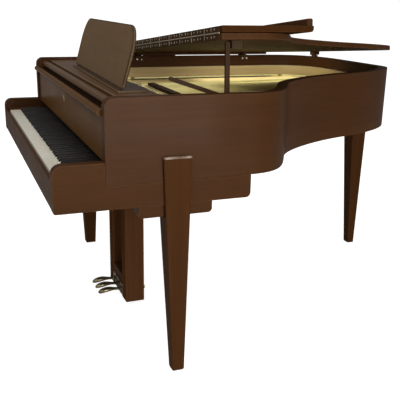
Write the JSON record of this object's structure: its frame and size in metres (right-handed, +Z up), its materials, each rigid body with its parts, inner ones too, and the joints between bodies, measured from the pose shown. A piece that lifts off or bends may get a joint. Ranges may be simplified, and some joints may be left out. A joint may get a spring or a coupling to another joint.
{
  "type": "grand piano",
  "caption": "Small walnut grand piano with straight stepped sides, square tapered legs, opening lid with folding front flap, fall board, music desk, pedals and moving keys",
  "frame": {"origin": "centre of the object's plan, on the floor", "axes": "+X to the treble side, +Y from the keys to the tail, +Z up"},
  "size_m": [1.4614, 1.679, 1.1563],
  "materials": {
    "walnut": "satin walnut veneer",
    "dark_walnut": "dark satin stain",
    "maple": "clear varnish",
    "spruce": "clear varnish",
    "ivory": "polished",
    "ebony": "satin black",
    "gold_iron": "gold bronze paint",
    "brass": "worn polish",
    "steel": "plated",
    "felt": "felt pad"
  },
  "bodies": {
    "case": {"rim_outer": "walnut", "arm_treble": "walnut", "arm_bass": "walnut", "step_treble": "walnut", "step_bass": "walnut", "key_block_treble": "walnut", "key_block_bass": "walnut", "key_slip": "walnut", "front_rail": "walnut", "music_shelf": "walnut", "leg_treble": "walnut", "leg_bass": "walnut", "leg_tail": "walnut", "lyre_post_bass": "walnut", "lyre_post_treble": "walnut", "lyre_head": "walnut", "pedal_box": "walnut", "desk_tray": "walnut", "key_bed": "dark_walnut", "name_board": "dark_walnut", "damper_rail": "dark_walnut", "rim_inner": "maple", "bridge": "maple", "belly_rail": "maple", "back_post_1": "maple", "back_post_2": "maple", "soundboard": "spruce", "white_keys_bass": "ivory", "white_keys_treble": "ivory", "black_keys_bass": "ebony", "black_keys_treble": "ebony", "plate_flange": "gold_iron", "plate_web": "gold_iron", "plate_strut_1": "gold_iron", "plate_strut_2": "gold_iron", "lyre_knob": "brass", "lid_hinge_1": "steel", "lid_hinge_2": "steel", "prop_plate": "steel", "tail_buffer": "felt"},
    "lid": {"lid_main": "walnut", "prop_cup": "brass", "fold_leaf_lid": "steel"},
    "flap": {"lid_flap": "walnut", "flap_lip": "walnut", "fold_leaf_flap": "steel"},
    "fall": {"fall_panel": "walnut", "fall_nose": "walnut", "fall_lock": "brass"},
    "desk": {"music_desk": "walnut"},
    "short_prop": {"prop_short": "walnut"},
    "long_prop": {"prop_long": "walnut"},
    "pedal_1": {"pedal_una_corda": "brass"},
    "pedal_2": {"pedal_sostenuto": "brass"},
    "pedal_3": {"pedal_sustain": "brass"},
    "note_c": {"key_c": "ivory"},
    "note_c_sharp": {"key_c_sharp": "ebony"},
    "note_d": {"key_d": "ivory"},
    "note_d_sharp": {"key_d_sharp": "ebony"},
    "note_e": {"key_e": "ivory"}
  },
  "joints": [
    {"name": "lid_hinge", "type": "hinge", "parent": "case", "child": "lid", "pos_m": [-0.73035, 0.0605, 0.923], "axis": [0, -1, 0], "range_deg": [0, 34]},
    {"name": "flap_fold", "type": "hinge", "parent": "lid", "child": "flap", "pos_m": [-0.01837, -0.3135, 1.03705], "axis": [0.9945, 0, 0.1045], "range_deg": [0, 120]},
    {"name": "fall_hinge", "type": "hinge", "parent": "case", "child": "fall", "pos_m": [-0.00435, -0.6625, 0.726], "axis": [1, 0, 0], "range_deg": [0, 90]},
    {"name": "desk_tilt", "type": "hinge", "parent": "case", "child": "desk", "pos_m": [0.08365, -0.5605, 0.9313], "axis": [0.9995, -0.0314, 0], "range_deg": [-73, 9]},
    {"name": "short_prop_fold", "type": "hinge", "parent": "case", "child": "short_prop", "pos_m": [0.65965, -0.2685, 0.89], "axis": [1, 0, 0], "range_deg": [0, 86]},
    {"name": "long_prop_fold", "type": "hinge", "parent": "case", "child": "long_prop", "pos_m": [0.64615, -0.2395, 0.9], "axis": [1, 0, 0], "range_deg": [-30, 5]},
    {"name": "una_corda_pedal", "type": "hinge", "parent": "case", "child": "pedal_1", "pos_m": [0.00965, -0.4355, 0.047], "axis": [1, 0, 0], "range_deg": [0, 6], "stiffness_Nm_per_rad": 15, "springref_deg": -2.86},
    {"name": "sostenuto_pedal", "type": "hinge", "parent": "case", "child": "pedal_2", "pos_m": [0.06565, -0.4355, 0.047], "axis": [1, 0, 0], "range_deg": [0, 6], "stiffness_Nm_per_rad": 15, "springref_deg": -2.86},
    {"name": "sustain_pedal", "type": "hinge", "parent": "case", "child": "pedal_3", "pos_m": [0.12165, -0.4355, 0.047], "axis": [1, 0, 0], "range_deg": [0, 6], "stiffness_Nm_per_rad": 15, "springref_deg": -2.86},
    {"name": "key_c_dip", "type": "hinge", "parent": "case", "child": "note_c", "pos_m": [-0.06324, -0.5895, 0.674], "axis": [1, 0, 0], "range_deg": [0, 2.4], "stiffness_Nm_per_rad": 3, "springref_deg": -3.44},
    {"name": "key_c_sharp_dip", "type": "hinge", "parent": "case", "child": "note_c_sharp", "pos_m": [-0.05441, -0.5895, 0.674], "axis": [1, 0, 0], "range_deg": [0, 2.4], "stiffness_Nm_per_rad": 3, "springref_deg": -3.44},
    {"name": "key_d_dip", "type": "hinge", "parent": "case", "child": "note_d", "pos_m": [-0.03969, -0.5895, 0.674], "axis": [1, 0, 0], "range_deg": [0, 2.4], "stiffness_Nm_per_rad": 3, "springref_deg": -3.44},
    {"name": "key_d_sharp_dip", "type": "hinge", "parent": "case", "child": "note_d_sharp", "pos_m": [-0.02693, -0.5895, 0.674], "axis": [1, 0, 0], "range_deg": [0, 2.4], "stiffness_Nm_per_rad": 3, "springref_deg": -3.44},
    {"name": "key_e_dip", "type": "hinge", "parent": "case", "child": "note_e", "pos_m": [-0.01613, -0.5895, 0.674], "axis": [1, 0, 0], "range_deg": [0, 2.4], "stiffness_Nm_per_rad": 3, "springref_deg": -3.44}
  ]
}
